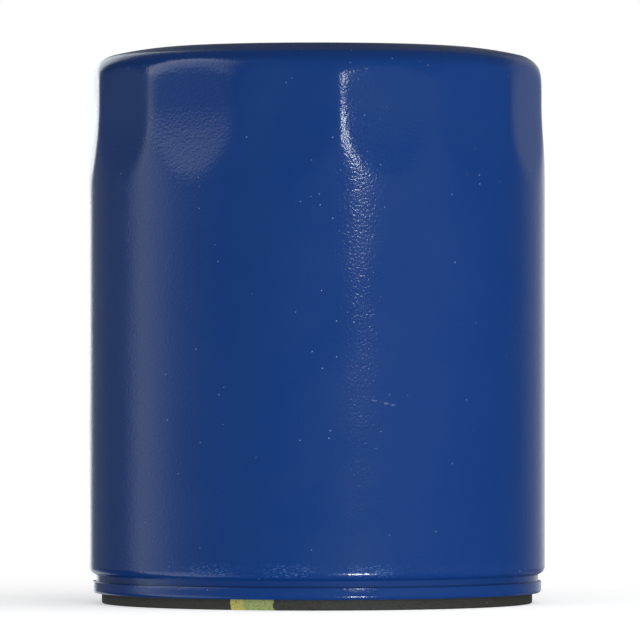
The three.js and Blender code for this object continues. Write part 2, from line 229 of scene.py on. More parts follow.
def make_piece(name, vertices, faces, sharp=32):
    """An object of a mesh given in millimetres, smooth but for edges past the sharp angle."""
    mesh = bpy.data.meshes.new(name)
    mesh.from_pydata([(x * MM, y * MM, z * MM) for x, y, z in vertices], [], faces)
    mesh.validate()
    piece = bpy.data.objects.new(name, mesh)
    bpy.context.scene.collection.objects.link(piece)
    shade(piece, sharp)
    return piece


def evenly(segments, start=0.0):
    return [start + 2 * math.pi * k / segments for k in range(segments)]


def turned(name, outline, angles, place=None, sharp=32):
    """A closed outline turned round Z; place(r, z, angle, index) may move each of its points."""
    outline = anticlockwise(outline)
    count = len(angles)
    rings = []
    vertices = []
    for i, (r, z) in enumerate(outline):
        if r < 1e-6:
            rings.append([len(vertices)] * count)
            vertices.append((0.0, 0.0, z))
            continue
        rings.append(range(len(vertices), len(vertices) + count))
        for angle in angles:
            moved_r, moved_z = place(r, z, angle, i) if place else (r, z)
            vertices.append((moved_r * math.sin(angle), -moved_r * math.cos(angle), moved_z))
    faces = []
    for i, lower in enumerate(rings):
        upper = rings[(i + 1) % len(rings)]
        for k in range(count):
            n = (k + 1) % count
            corners = list(dict.fromkeys([lower[k], lower[n], upper[n], upper[k]]))
            if len(corners) > 2:
                faces.append(corners)
    return make_piece(name, vertices, faces, sharp)


def layered(name, loops, rims, sharp=40):
    """Closed loops, each given at every level from the bottom up, capped by the rims' faces."""
    levels = len(loops[0])
    count = len(loops[0][0])
    vertices = [point for loop in loops for level in loop for point in level]
    faces = []
    for number in range(len(loops)):
        for level in range(levels - 1):
            first = (number * levels + level) * count
            for k in range(count):
                n = (k + 1) % count
                quad = [first + k, first + n, first + count + n, first + count + k]
                faces.append(quad if number == 0 else quad[::-1])
    return make_piece(name, vertices, faces + rims(count, levels), sharp)


def prism(name, outline, low, high, sharp=40):
    """A closed outline in X and Y carried up from low to high."""
    loop = [[(x, y, z) for x, y in anticlockwise(outline)] for z in (low, high)]

    def lids(count, levels):
        top = (levels - 1) * count
        return [list(range(count))[::-1], list(range(top, top + count))]

    return layered(name, [loop], lids, sharp)


def wire(name, line, radius, sides=16):
    """A round wire along a line that winds round Z; its ends are cut square, their edges dulled."""
    last = len(line) - 1
    stations = [(0, 0.8, -0.1), *((i, 1.0, 0.0) for i in range(last + 1)), (last, 0.8, 0.1)]
    vertices = []
    for i, share, push in stations:
        here = Vector(line[i])
        along = (Vector(line[min(i + 1, last)]) - Vector(line[max(i - 1, 0)])).normalized()
        outward = Vector((here.x, here.y, 0.0)).normalized()
        up = along.cross(outward).normalized()
        outward = up.cross(along)
        for k in range(sides):
            angle = 2 * math.pi * k / sides
            spoke = (outward * math.cos(angle) - up * math.sin(angle)) * radius * share
            vertices.append(tuple(here + along * (push * radius) + spoke))
    faces = []
    for i in range(len(stations) - 1):
        for k in range(sides):
            n = (k + 1) % sides
            a, b = i * sides, (i + 1) * sides
            faces.append([a + k, b + k, b + n, a + n])
    end = (len(stations) - 1) * sides
    faces.append(list(range(sides)))
    faces.append([end + k for k in reversed(range(sides))])
    return make_piece(name, vertices, faces, 50)


def coil_line(radius, thickness, turns, low, high):
    """The middle line of a compression spring whose two end turns lie flat."""
    closed = 0.5
    points = []
    steps = round(turns * 72)
    for i in range(steps + 1):
        turn = turns * i / steps
        share = min(max((turn - closed) / (turns - 2 * closed), 0.0), 1.0)
        rise = 0.7 * share + 0.3 * share * share * (3 - 2 * share)
        angle = 2 * math.pi * turn
        z = low + thickness / 2 + (high - low - thickness) * rise
        points.append((radius * math.cos(angle), radius * math.sin(angle), z))
    return points


def placed(piece, matrix):
    """A piece with its mesh moved by a matrix in millimetres."""
    metres = matrix.copy()
    metres.translation *= MM
    piece.data.transform(metres)
    return piece


def cut_away(piece, punches, sharp=32):
    """A piece with the punches cut out of it."""
    joined = bmesh.new()
    for punch in punches:
        joined.from_mesh(punch.data)
        bpy.data.objects.remove(punch)
    mesh = bpy.data.meshes.new("punches")
    joined.to_mesh(mesh)
    joined.free()
    holder = bpy.data.objects.new("punches", mesh)
    bpy.context.scene.collection.objects.link(holder)
    boolean = piece.modifiers.new("cut", "BOOLEAN")
    boolean.operation = "DIFFERENCE"
    boolean.solver = "EXACT"
    boolean.object = holder
    evaluated = piece.evaluated_get(bpy.context.evaluated_depsgraph_get())
    piece.data = bpy.data.meshes.new_from_object(evaluated)
    piece.modifiers.clear()
    bpy.data.objects.remove(holder)
    shade(piece, sharp)
    return piece


def round_punch(radius, low, high, flare=0.0):
    """A round punch along Z; it flares at both faces, so that the hole's edges come out round."""
    outline = [(0.0, low - 1), (radius + flare, low - 1)]
    if flare:
        outline += arc(radius + flare, low + flare, flare, 270, 180, 4)
        outline += arc(radius + flare, high - flare, flare, 180, 90, 4)
    outline += [(radius + flare, high + 1), (0.0, high + 1)]
    return turned("punch", outline, evenly(32))


# ---------- the can, the seam and the gasket ----------


def dome_path():
    """The dome's outer skin from the axis to the wall, in three arcs that run into each other."""
    crown = math.degrees(math.asin(CROWN_REACH / CROWN_RADIUS))
    reach = CROWN_RADIUS - SHOULDER_RADIUS
    shoulder_r = reach * math.sin(math.radians(crown))
    shoulder_z = CAN_TOP - CROWN_RADIUS + reach * math.cos(math.radians(crown))
    corner_r = CAN_RADIUS - CORNER_RADIUS
    reach = SHOULDER_RADIUS - CORNER_RADIUS
    corner = math.degrees(math.asin((corner_r - shoulder_r) / reach))
    corner_z = shoulder_z + reach * math.cos(math.radians(corner))
    path = arc(0.0, CAN_TOP - CROWN_RADIUS, CROWN_RADIUS, 90, 90 - crown, 8)
    path += arc(shoulder_r, shoulder_z, SHOULDER_RADIUS, 90 - crown, 90 - corner, 10)[1:]
    return path + arc(corner_r, corner_z, CORNER_RADIUS, 90 - corner, 0, 36)[1:]


def steps_between(start, end, steps):
    """Even steps from a start, left out, to an end."""
    return [start + (end - start) * i / steps for i in range(1, steps + 1)]


def can_path():
    """The can's outer skin from the axis down to its edge in the seam."""
    path = dome_path()
    top = path[-1][1]
    run_out_end = FLAT_END - RUN_OUT - 2
    heights = steps_between(top, FLAT_END, 8)
    heights += steps_between(FLAT_END, run_out_end, 50)
    heights += steps_between(run_out_end, WALL_FOOT, 12)[:-1]
    path += [(CAN_RADIUS, z) for z in heights]
    path += arc(CAN_RADIUS - FOOT_RADIUS, WALL_FOOT, FOOT_RADIUS, 0, -72, 12)
    neck_top = path[-1][1] - 0.15
    return path + [(NECK_RADIUS, neck_top), (NECK_RADIUS, neck_top - 0.5), (NECK_RADIUS, CAN_LOW)]


def flute_angles():
    """Angles round the can that crowd together at the ridges between the flutes."""
    pitch = 2 * math.pi / FLUTES
    steps = 26
    shares = [i / steps for i in range(steps)]
    eased = [share - 0.7 * math.sin(2 * math.pi * share) / (2 * math.pi) for share in shares]
    first = math.radians(FIRST_RIDGE)
    return [first + pitch * (flute + share) for flute in range(FLUTES) for share in eased]


def flat_distance(z):
    """How far a flat stands from the axis: upright above, leaning out to the wall below."""
    faded = max((FLAT_END - z) / RUN_OUT, 0.0) ** 1.5
    return FLAT_DISTANCE + (CAN_RADIUS - FLAT_DISTANCE) * faded


def housing_can():
    """Deep-drawn can: the flutes' flats are pressed in below the dome and fade into the wall."""
    outer = can_path()
    inner = offset(outer, -SHEET)
    inner[0] = (0.0, inner[0][1])
    outline = inner + outer[::-1]
    pitch = 2 * math.pi / FLUTES

    def place(r, z, angle, i):
        turn = (angle - math.radians(FIRST_RIDGE)) % pitch
        from_ridge = math.hypot(min(turn, pitch - turn), math.radians(RIDGE_SOFTNESS))
        inset = SHEET if i < len(inner) else 0.0
        limit = (flat_distance(z) - inset) / math.cos(max(pitch / 2 - from_ridge, 0.0))
        on_dome = min(max((z - DOME_START) / 3, 0.0), 1.0)
        softness = WALL_SOFTNESS + (DOME_SOFTNESS - WALL_SOFTNESS) * on_dome
        step = abs(r - limit) / softness
        return min(r, limit) - softness * math.log1p(math.exp(-step)), z

    return turned("drawn_can", outline, flute_angles(), place, 40)


def gasket_retainer():
    """One sheet: the seam's hook, the gasket's channel, the bead round it and the weld flange."""
    inner, _, low, _ = span("gasket_retainer")
    hook_low = low + SHEET / 2
    flange = [(WELD_CIRCLE + 1.5 - 0.2 * i, FLANGE_HEIGHT) for i in range(16)]
    path = [(HOOK_RADIUS, HOOK_TOP), (HOOK_RADIUS, hook_low), (CHANNEL_RADIUS, hook_low),
            (CHANNEL_RADIUS, FLANGE_HEIGHT), (BEAD_OUTER, FLANGE_HEIGHT), (BEAD_OUTER, BEAD_LOW),
            (BEAD_INNER, BEAD_LOW), (BEAD_INNER, FLANGE_HEIGHT), *flange, (inner, FLANGE_HEIGHT)]
    outline = sheet_outline(bent(path[::-1], 0.42, 8), SHEET)

    def place(r, z, angle, i):
        """Each projection weld leaves a shallow round dimple under the flange."""
        across = (angle * WELDS / (2 * math.pi)) % 1 - 0.5
        from_weld = math.hypot(across * 2 * math.pi * WELD_CIRCLE / WELDS, r - WELD_CIRCLE)
        return r, z + 0.16 * math.exp(-((from_weld / 0.8) ** 2))

    return turned("seamed_retainer", outline, evenly(720), place, 40)


def seam_compound():
    """Soft compound squeezed into the bottom of the hook."""
    inner, outer, low, high = span("seam_compound")
    outline = rounded([(inner, low), (outer, low), (outer, high), (inner, high)], 0.15)

    def place(r, z, angle, i):
        wave = noise.noise(Vector((math.cos(angle), math.sin(angle), 0.0)) * 30)
        return r, z - 0.06 * (1 + wave) * (z > (low + high) / 2)

    return turned("seam_lining", outline, evenly(360), place, 60)


def sealing_gasket():
    """Moulded rubber ring of square section, its edges rounded."""
    inner, outer, low, high = span("sealing_gasket")
    middle = (low + high) / 2
    outline = rounded([(inner, low, 0.35), (outer, low, 0.35), (outer, middle), (outer, high, 0.35),
                       (inner, high, 0.35), (inner, middle)], steps=6)
    return turned("gasket_ring", outline, evenly(360))


# ---------- the base plate and the anti-drain-back valve ----------


def plate_section(thread_top):
    """The plate's outline from the thread's foot round the outside to the thread's top."""
    _, rim, face, hub_top = span("base_plate")
    lead = THREAD_MAJOR + 1.3
    outline = [(THREAD_MAJOR, THREAD_START), *arc(lead, face + 1.2, 1.2, 190, 270, 6)]
    outline += fillet((lead, face), (PLATE_FACE_RADIUS, face), (PLATE_FACE_RADIUS, PLATE_LOW),
                      0.2, 3)
    outline += [(PLATE_FACE_RADIUS, PLATE_LOW)]
    outline += arc(rim - 0.5, PLATE_LOW + 0.5, 0.5, 270, 360, 4)
    outline += arc(rim - 0.5, PLATE_TOP - 0.5, 0.5, 0, 90, 4)
    outline += arc(HUB_RADIUS + 1.2, PLATE_TOP + 1.2, 1.2, 270, 180, 7)
    outline += arc(HUB_RADIUS - 0.3, hub_top - 0.3, 0.3, 0, 90, 3)
    return outline + [(THREAD_MAJOR + 0.4, hub_top), (THREAD_MAJOR, thread_top)]


def thread_section(turn, thread_top):
    """The thread's outline from its top down, at a share of a turn; both its ends fade out."""
    soft = 0.05
    flank = [(THREAD_MINOR, 0.125), (THREAD_MINOR + soft, 0.16), (THREAD_MAJOR - soft, 0.41),
             (THREAD_MAJOR, 0.45)]
    ridge_outline = [(r, -height) for r, height in reversed(flank)] + flank
    start = THREAD_START + THREAD_PITCH / 2
    outline = []
    for ridge in range(THREAD_RIDGES):
        fade_in = turn if ridge == 0 else 1.0
        fade_out = 1 - turn if ridge == THREAD_RIDGES - 1 else 1.0
        for r, height in ridge_outline:
            wound = start + THREAD_PITCH * (ridge + turn + height)
            low = THREAD_START + (wound - THREAD_START) * fade_in
            faded_r = THREAD_MAJOR + (r - THREAD_MAJOR) * min(fade_in, fade_out)
            outline.append((faded_r, thread_top + (low - thread_top) * fade_out))
    return outline[::-1]


def base_plate():
    """Pressed plate: stepped face, ring of inlets, and a burred hub with a right-hand thread."""
    thread_top = THREAD_START + (THREAD_RIDGES + 1) * THREAD_PITCH
    plain = plate_section(thread_top)
    segments = 144
    vertices = []
    for column in range(segments + 1):
        turn = column / segments
        section = plain + thread_section(turn, thread_top)
        angle = 2 * math.pi * turn
        vertices += [(r * math.sin(angle), -r * math.cos(angle), z) for r, z in section]
    count = len(section)
    faces = []
    for column in range(segments):
        here, there = column * count, (column + 1) * count
        for i in range(count):
            n = (i + 1) % count
            faces.append([here + i, there + i, there + n, here + n])
    plate = make_piece("threaded_plate", vertices, faces, 30)
    welded = bmesh.new()
    welded.from_mesh(plate.data)
    bmesh.ops.remove_doubles(welded, verts=welded.verts, dist=1e-4 * MM)
    welded.to_mesh(plate.data)
    welded.free()
    _, _, face, _ = span("base_plate")
    inlets = []
    for angle in evenly(INLETS):
        spot = (INLET_CIRCLE * math.cos(angle), INLET_CIRCLE * math.sin(angle), 0.0)
        inlets.append(placed(round_punch(INLET_RADIUS, face, PLATE_TOP, 0.3), Matrix.Translation(spot)))
    return cut_away(plate, inlets, 30)


def drainback_valve():
    """One moulding: the collar that grips the hub and the flap that lies over the inlets."""
    inner, _, collar_low, collar_top = span("drainback_valve_collar")
    _, edge, seat, _ = span("drainback_valve_lip")
    outline = rounded([
        (inner, collar_low, 0.3),
        (VALVE_COLLAR, collar_low, 0.3),
        (VALVE_COLLAR, LIP_ROOT, 0.5),
        (edge - LIP_LAND, seat, 0.8),
        (edge, seat, 0.15),
        (edge, seat + 0.8, 0.3),
        (edge - LIP_LAND, seat + 1.2, 1.5),
        (VALVE_COLLAR, LIP_ROOT + 1.3, 0.8),
        (VALVE_COLLAR, collar_top, 0.5),
        (inner, collar_top, 0.4),
    ], steps=6)
    stretched = []
    for before, point in zip(outline[-1:] + outline, outline):
        steps = max(round(math.dist(before, point) / 1.0), 1)
        stretched += [(before[0] + (point[0] - before[0]) * i / steps,
                       before[1] + (point[1] - before[1]) * i / steps) for i in range(1, steps + 1)]
    return turned("drainback_valve", stretched, evenly(144))


# ---------- the element ----------


def end_cap(name, node, bore_edge, floor, flange_end):
    """An end cap: a shallow dish with a stiffening ring stamped away from the paper."""
    inner, outer, _, _ = span(node)
    away = math.copysign(0.35, floor - flange_end)
    ring = [(bore_edge + 4.0, floor), (bore_edge + 4.8, floor + away),
            (outer - 5.8, floor + away), (outer - 5.0, floor)]
    path = [(inner, floor), *ring, (outer - SHEET / 2, floor), (outer - SHEET / 2, flange_end)]
    return turned(name, sheet_outline(bent(path, 0.7), SHEET), evenly(144))


def lower_end_cap():
    _, _, low, high = span("lower_end_cap")
    return end_cap("lower_cap", "lower_end_cap", VALVE_COLLAR, low + SHEET / 2, high)


def upper_end_cap():
    inner, _, low, high = span("upper_end_cap")
    return end_cap("upper_cap", "upper_end_cap", inner + 5, high - SHEET / 2, low)


def potting(name, node, paper_side):
    """Cured plastisol; it creeps up the cap's wall and the tube, and lies lower between them."""
    inner, outer, low, high = span(node)
    depth = 0.35
    flat, wet = (low, high) if paper_side > 0 else (high, low)
    hollow = wet - paper_side * depth
    outline = [(inner, flat), (outer, flat), (outer, wet), (outer - 0.7, hollow + paper_side * 0.1),
               (outer - 1.6, hollow), (inner + 1.6, hollow), (inner + 0.7, hollow + paper_side * 0.1),
               (inner, wet)]

    def place(r, z, angle, i):
        if inner + 0.5 < r < outer - 0.5:
            around = Vector((math.cos(angle) * r, math.sin(angle) * r, 0.0))
            return r, z + 0.08 * noise.noise(around * 0.5)
        return r, z

    return turned(name, outline, evenly(240), place)


def fold_line():
    """The paper's middle line round the element, with a round fold at each turn."""
    root, tip, _, _ = span("pleated_media")
    outer_r = tip - PAPER / 2 - OUTER_FOLD
    inner_r = root + PAPER / 2 + INNER_FOLD
    folds = []
    for pleat in range(PLEATS):
        axis = 2 * math.pi * pleat / PLEATS
        folds.append((axis, outer_r, OUTER_FOLD, 1))
        folds.append((axis + math.pi / PLEATS, inner_r, INNER_FOLD, -1))
    line = []
    for axis, radius, bend, side in folds:
        out = Vector((math.cos(axis), math.sin(axis)))
        across = Vector((-out.y, out.x))
        for i in range(9):
            swing = math.radians(-94 + 188 * i / 8)
            spot = out * (radius + side * bend * math.cos(swing)) + across * bend * math.sin(swing)
            line.append(spot)
    return line


def pleated_media():
    """Resin-treated paper folded into a ring; its legs sway a little between the end caps."""
    _, _, low, high = span("pleated_media")
    line = fold_line()
    count = len(line)
    levels = 18
    loops = [[], []]
    for level in range(levels + 1):
        z = low + (high - low) * level / levels
        free = math.sin(math.pi * level / levels)
        rings = ([], [])
        for i, here in enumerate(line):
            along = (line[(i + 1) % count] - line[i - 1]).normalized()
            sway = free * 0.22 * noise.noise(Vector((here.x * 0.35, here.y * 0.35, z * 0.12)))
            around = Vector((-here.y, here.x)).normalized() * sway
            normal = Vector((along.y, -along.x)) * PAPER / 2
            for ring, side in zip(rings, (1, -1)):
                spot = here + around + normal * side
                ring.append((spot.x, spot.y, z))
        loops[0].append(rings[0])
        loops[1].append(rings[1])

    def edges(count, levels):
        top = (levels - 1) * count
        inner = levels * count
        faces = []
        for k in range(count):
            n = (k + 1) % count
            faces.append([k, inner + k, inner + n, n])
            faces.append([top + k, top + n, inner + top + n, inner + top + k])
        return faces

    return layered("folded_paper", loops, edges, 50)


def seam_clip():
    """A folded strip that joins the paper's two ends over one pleat."""
    box = [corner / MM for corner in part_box("media_seam_clip")]
    foot, tip = box[0].x, box[1].x
    half_foot = box[1].y
    strip = 0.3
    path = [(foot, half_foot - strip / 2), (tip - strip / 2, 0.75), (tip - strip / 2, -0.75),
            (foot, strip / 2 - half_foot)]
    outline = sheet_outline(bent(path, 0.35, 4), strip)
    return prism("paper_seam_strip", outline, box[0].z, box[1].z)


def centre_tube():
    """Tube with staggered rows of ports."""
    _, outer, low, high = span("centre_tube")
    inner = outer - TUBE_WALL
    tube = turned("perforated_tube", rounded([(inner, low), (outer, low), (outer, high),
                                              (inner, high)], 0.12, 2), evenly(128))
    ports = []
    spacing = (high + GAP + CAGE_WALL - low) / (PORT_ROWS + 1)
    for row in range(1, PORT_ROWS + 1):
        for column in range(PORT_COLUMNS):
            facet = 2 * column + row % 2 + 0.5
            port = round_punch(PORT_RADIUS, inner, outer)
            placed(port, Matrix.Rotation(math.pi / 2, 4, "X"))
            angle = math.radians(FIRST_RIDGE) + math.pi * facet / PORT_COLUMNS
            placed(port, Matrix.Rotation(angle, 4, "Z"))
            ports.append(placed(port, Matrix.Translation((0, 0, low + row * spacing))))
    return cut_away(tube, ports)


# ---------- the bypass valve and the springs ----------


def bypass_seat():
    inner, outer, low, high = span("bypass_seat")
    neck = span("upper_end_cap")[0] - GAP
    flange = high - 0.6
    outline = rounded([(inner, low, 0.25), (neck, low, 0.25), (neck, flange, 0.1),
                       (outer, flange, 0.15), (outer, high, 0.2), (inner, high, 0.4)])
    return turned("valve_seat", outline, evenly(96))


def bypass_cage():
    """Cup of thin sheet with four windows, its flange up against the cap."""
    inner, outer, low, high = span("bypass_cage")
    wall = CAGE_RADIUS - CAGE_WALL / 2
    path = [(inner, low + CAGE_WALL / 2), (wall, low + CAGE_WALL / 2), (wall, high - CAGE_WALL / 2),
            (outer, high - CAGE_WALL / 2)]
    outline = sheet_outline(bent(path, 0.7), CAGE_WALL)
    cage = turned("valve_cage", outline, evenly(96))
    half_width, half_height = WINDOW_WIDTH / 2, WINDOW_HEIGHT / 2
    section = rounded([(-half_height, -half_width), (half_height, -half_width),
                       (half_height, half_width), (-half_height, half_width)], 0.8)
    windows = []
    for angle in evenly(4):
        window = prism("window", section, wall - 4, wall + 2)
        placed(window, Matrix.Rotation(math.pi / 2, 4, "Y"))
        placed(window, Matrix.Rotation(angle, 4, "Z"))
        windows.append(placed(window, Matrix.Translation((0, 0, low + WINDOW_HEIGHT))))
    return cut_away(cage, windows)


def bypass_poppet():
    """Drawn disc with a guide stem that stands in the spring."""
    _, outer, low, high = span("bypass_poppet")
    under = high - 0.8
    outline = rounded([(0.0, low), (STEM_RADIUS, low, 0.6), (STEM_RADIUS, under, 0.5),
                       (outer, under, 0.3), (outer, high, 0.15), (0.0, high)])
    return turned("valve_poppet", outline, evenly(96))


def bypass_seal():
    inner, outer, low, high = span("bypass_seal")
    outline = rounded([(inner, low), (outer, low), (outer, high), (inner, high)], 0.2)
    return turned("valve_seal", outline, evenly(96))


def spring(name, node, thickness, turns):
    _, outer, low, high = span(node)
    return wire(name, coil_line(outer - thickness / 2, thickness, turns, low, high), thickness / 2)


# ---------- shader helpers ----------

VECTOR, FLOAT = "NodeSocketVector", "NodeSocketFloat"


def new_node(tree, kind, inputs=None, **settings):
    """A node with its settings and inputs; an input is a value or another node's output."""
    node = tree.nodes.new(kind)
    for key, value in settings.items():
        setattr(node, key, value)
    for key, value in (inputs or {}).items():
        if isinstance(value, bpy.types.NodeSocket):
            tree.links.new(value, node.inputs[key])
        else:
            node.inputs[key].default_value = value
    return node


def maths(tree, operation, first, second=0.0, clamp=False):
    node = new_node(tree, "ShaderNodeMath", {0: first, 1: second}, operation=operation)
    node.use_clamp = clamp
    return node.outputs[0]


def times(tree, first, second):
    return maths(tree, "MULTIPLY", first, second)


def remap(tree, value, low, high, to_low=0.0, to_high=1.0):
    """Takes low..high smoothly to to_low..to_high, and holds the ends."""
    inputs = {0: value, 1: low, 2: high, 3: to_low, 4: to_high}
    node = new_node(tree, "ShaderNodeMapRange", inputs, interpolation_type="SMOOTHSTEP")
    return node.outputs[0]


def mix(tree, share, first, second):
    """The second colour over the first by the share."""
    inputs = {0: share, 6: first, 7: second}
    return new_node(tree, "ShaderNodeMix", inputs, data_type="RGBA").outputs[2]


def mixed(tree, share, first, second):
    """The second value over the first by the share."""
    return new_node(tree, "ShaderNodeMix", {0: share, 2: first, 3: second}).outputs[0]


def clouds(tree, vector, scale, detail=2.0, roughness=0.5):
    inputs = {"Vector": vector, "Scale": scale, "Detail": detail, "Roughness": roughness}
    return new_node(tree, "ShaderNodeTexNoise", inputs).outputs["Fac"]


def raised(tree, height, distance, below=None):
    """The normal of a surface raised by a height between 0 and 1, in metres of distance."""
    inputs = {"Height": height, "Distance": distance, "Strength": 1.0}
    if below is not None:
        inputs["Normal"] = below
    return new_node(tree, "ShaderNodeBump", inputs).outputs["Normal"]


def new_group(name, inputs, outputs):
    """An empty node group, with its inputs' and outputs' sockets."""
    tree = bpy.data.node_groups.new(name, "ShaderNodeTree")
    for label, kind, value in inputs:
        socket = tree.interface.new_socket(label, in_out="INPUT", socket_type=kind)
        if value is not None:
            socket.default_value = value
    for label in outputs:
        tree.interface.new_socket(label, in_out="OUTPUT", socket_type=FLOAT)
    source = tree.nodes.new("NodeGroupInput").outputs
    return tree, source, tree.nodes.new("NodeGroupOutput").inputs


def use_group(tree, group, inputs):
    return new_node(tree, "ShaderNodeGroup", inputs, node_tree=group).outputs


def specks_group():
    """Small separate specks, such as dust; Share is how many of the cells hold one."""
    inputs = [("Place", VECTOR, None), ("Spacing", FLOAT, 0.004), ("Radius", FLOAT, 0.04),
              ("Share", FLOAT, 0.5)]
    tree, source, sink = new_group("specks", inputs, ["Mask"])
    scale = maths(tree, "DIVIDE", 1.0, source["Spacing"])
    cells = new_node(tree, "ShaderNodeTexVoronoi", {"Vector": source["Place"], "Scale": scale})
    random = new_node(tree, "ShaderNodeSeparateColor", {"Color": cells.outputs["Color"]})
    size = times(tree, source["Radius"], random.outputs["Green"])
    dot = maths(tree, "LESS_THAN", cells.outputs["Distance"], size)
    chosen = maths(tree, "LESS_THAN", random.outputs["Red"], source["Share"])
    tree.links.new(times(tree, dot, chosen), sink["Mask"])
    return tree


def scuffs_group():
    """Short fine scratches: specks drawn out along one direction, given in degrees."""
    inputs = [("Place", VECTOR, None), ("Spacing", FLOAT, 0.004), ("Width", FLOAT, 0.02),
              ("Share", FLOAT, 0.3), ("Direction", FLOAT, 0.0)]
    tree, source, sink = new_group("scuffs", inputs, ["Mask"])
    turned_place = new_node(tree, "ShaderNodeVectorRotate", {
        "Vector": source["Place"], "Angle": maths(tree, "RADIANS", source["Direction"]),
    }, rotation_type="Z_AXIS").outputs[0]
    drawn = new_node(tree, "ShaderNodeVectorMath", {0: turned_place, 1: (0.08, 1.0, 1.0)},
                     operation="MULTIPLY").outputs[0]
    lines = use_group(tree, SPECKS, {"Place": drawn, "Spacing": source["Spacing"],
                                     "Radius": source["Width"], "Share": source["Share"]})
    broken = remap(tree, clouds(tree, source["Place"], 900.0, 3.0), 0.42, 0.55)
    tree.links.new(times(tree, lines["Mask"], broken), sink["Mask"])
    return tree


def grain_group():
    """Fine surface grain and broad unevenness, both from 0 to 1."""
    inputs = [("Place", VECTOR, None), ("Size", FLOAT, 0.0005), ("Breadth", FLOAT, 0.02)]
    tree, source, sink = new_group("grain", inputs, ["Fine", "Broad"])
    fine = clouds(tree, source["Place"], maths(tree, "DIVIDE", 1.0, source["Size"]), 3.0, 0.6)
    broad = clouds(tree, source["Place"], maths(tree, "DIVIDE", 1.0, source["Breadth"]), 2.0)
    tree.links.new(fine, sink["Fine"])
    tree.links.new(broad, sink["Broad"])
    return tree


def turning_group():
    """Fine rings round the axis, such as a die leaves, and the place's radius and turn."""
    inputs = [("Place", VECTOR, None), ("Spacing", FLOAT, 0.0004)]
    tree, source, sink = new_group("turning_marks", inputs, ["Rings", "Radius", "Turn"])
    axes = new_node(tree, "ShaderNodeSeparateXYZ", {0: source["Place"]}).outputs
    square = maths(tree, "ADD", maths(tree, "POWER", axes[0], 2.0), maths(tree, "POWER", axes[1], 2.0))
    radius = maths(tree, "SQRT", square)
    turn = maths(tree, "ARCTAN2", axes[0], times(tree, axes[1], -1.0))
    spot = new_node(tree, "ShaderNodeCombineXYZ", {
        0: maths(tree, "DIVIDE", radius, source["Spacing"]),
        1: maths(tree, "DIVIDE", axes[2], source["Spacing"]),
        2: times(tree, turn, 1.5),
    })
    tree.links.new(clouds(tree, spot.outputs[0], 1.0, 2.0), sink["Rings"])
    tree.links.new(radius, sink["Radius"])
    tree.links.new(turn, sink["Turn"])
    return tree


def edge_wear_group():
    """Worn outer edges, broken up by noise."""
    inputs = [("Place", VECTOR, None), ("Reach", FLOAT, 0.06), ("Size", FLOAT, 0.002)]
    tree, source, sink = new_group("edge_wear", inputs, ["Mask"])
    point = new_node(tree, "ShaderNodeNewGeometry").outputs["Pointiness"]
    rub = clouds(tree, source["Place"], maths(tree, "DIVIDE", 1.0, source["Size"]), 4.0)
    start = maths(tree, "SUBTRACT", 0.6, source["Reach"])
    edge = new_node(tree, "ShaderNodeMapRange", {0: point, 1: start, 2: 0.6}).outputs[0]
    broken = times(tree, edge, remap(tree, rub, 0.4, 0.6))
    tree.links.new(broken, sink["Mask"])
    return tree


SPECKS = specks_group()
SCUFFS = scuffs_group()
GRAIN = grain_group()
TURNING = turning_group()
EDGE_WEAR = edge_wear_group()


def speckled(tree, place, spacing, radius, share):
    inputs = {"Place": place, "Spacing": spacing, "Radius": radius, "Share": share}
    return use_group(tree, SPECKS, inputs)["Mask"]


def grained(tree, place, size, breadth):
    return use_group(tree, GRAIN, {"Place": place, "Size": size, "Breadth": breadth})


def toned(tree, colour, mask, strength, tone):
    """A colour with a tone laid over it where the mask is, at a strength."""
    return mix(tree, times(tree, mask, strength), colour, tone)


def new_material(name, **constants):
    """A material with its tree, its shader and the place of each point in the piece."""
    material = bpy.data.materials.new(name)
    material.use_nodes = True
    tree = material.node_tree
    shader = tree.nodes["Principled BSDF"]
    for key, value in constants.items():
        shader.inputs[key.replace("_", " ")].default_value = value
    place = new_node(tree, "ShaderNodeTexCoord").outputs["Object"]
    return material, tree, shader, place


def connect(tree, shader, **sockets):
    for key, socket in sockets.items():
        tree.links.new(socket, shader.inputs[key.replace("_", " ")])


# ---------- materials ----------

BLUE = (0.0026, 0.027, 0.136, 1.0)
PALE_BLUE = (0.0040, 0.032, 0.151, 1.0)
DUST = (0.46, 0.55, 0.72, 1.0)
RUBBED_BLUE = (0.20, 0.36, 0.72, 1.0)
BARE_STEEL = (0.46, 0.45, 0.43, 1.0)
PEEL_SCALE = 2400.0
PEEL_HEIGHT = 0.000034
WAVE_SCALE = 500.0
WAVE_HEIGHT = 0.000012


def unrolled(tree, place, turning):
    """The can's wall laid flat: the distance round it, the height and the radius."""
    distance = times(tree, turning["Turn"], turning["Radius"])
    height = new_node(tree, "ShaderNodeSeparateXYZ", {0: place}).outputs[2]
    flat = {0: distance, 1: height, 2: turning["Radius"]}
    return new_node(tree, "ShaderNodeCombineXYZ", flat).outputs[0]


def shoulder_rub(tree, turning, wall):
    """Pale ticks where the lower shoulder has rubbed on a shelf, in a few patches."""
    height = new_node(tree, "ShaderNodeSeparateXYZ", {0: wall}).outputs[1]
    band = times(tree, remap(tree, height, 0.0052, 0.0058),
                 remap(tree, height, 0.0066, 0.0080, 1.0, 0.0))
    patches = 0.12
    for middle in (-28.0, -7.0, 13.5):
        away = maths(tree, "SUBTRACT", turning["Turn"], math.radians(middle))
        patch = remap(tree, maths(tree, "ABSOLUTE", away), 0.06, 0.14, 1.0, 0.0)
        patches = maths(tree, "MAXIMUM", patches, patch)
    drawn = new_node(tree, "ShaderNodeVectorMath", {0: wall, 1: (0.5, 1.6, 1.0)},
                     operation="MULTIPLY").outputs[0]
    ticks = remap(tree, clouds(tree, drawn, 3600.0, 2.0, 0.6), 0.54, 0.62)
    return times(tree, times(tree, band, patches), ticks)


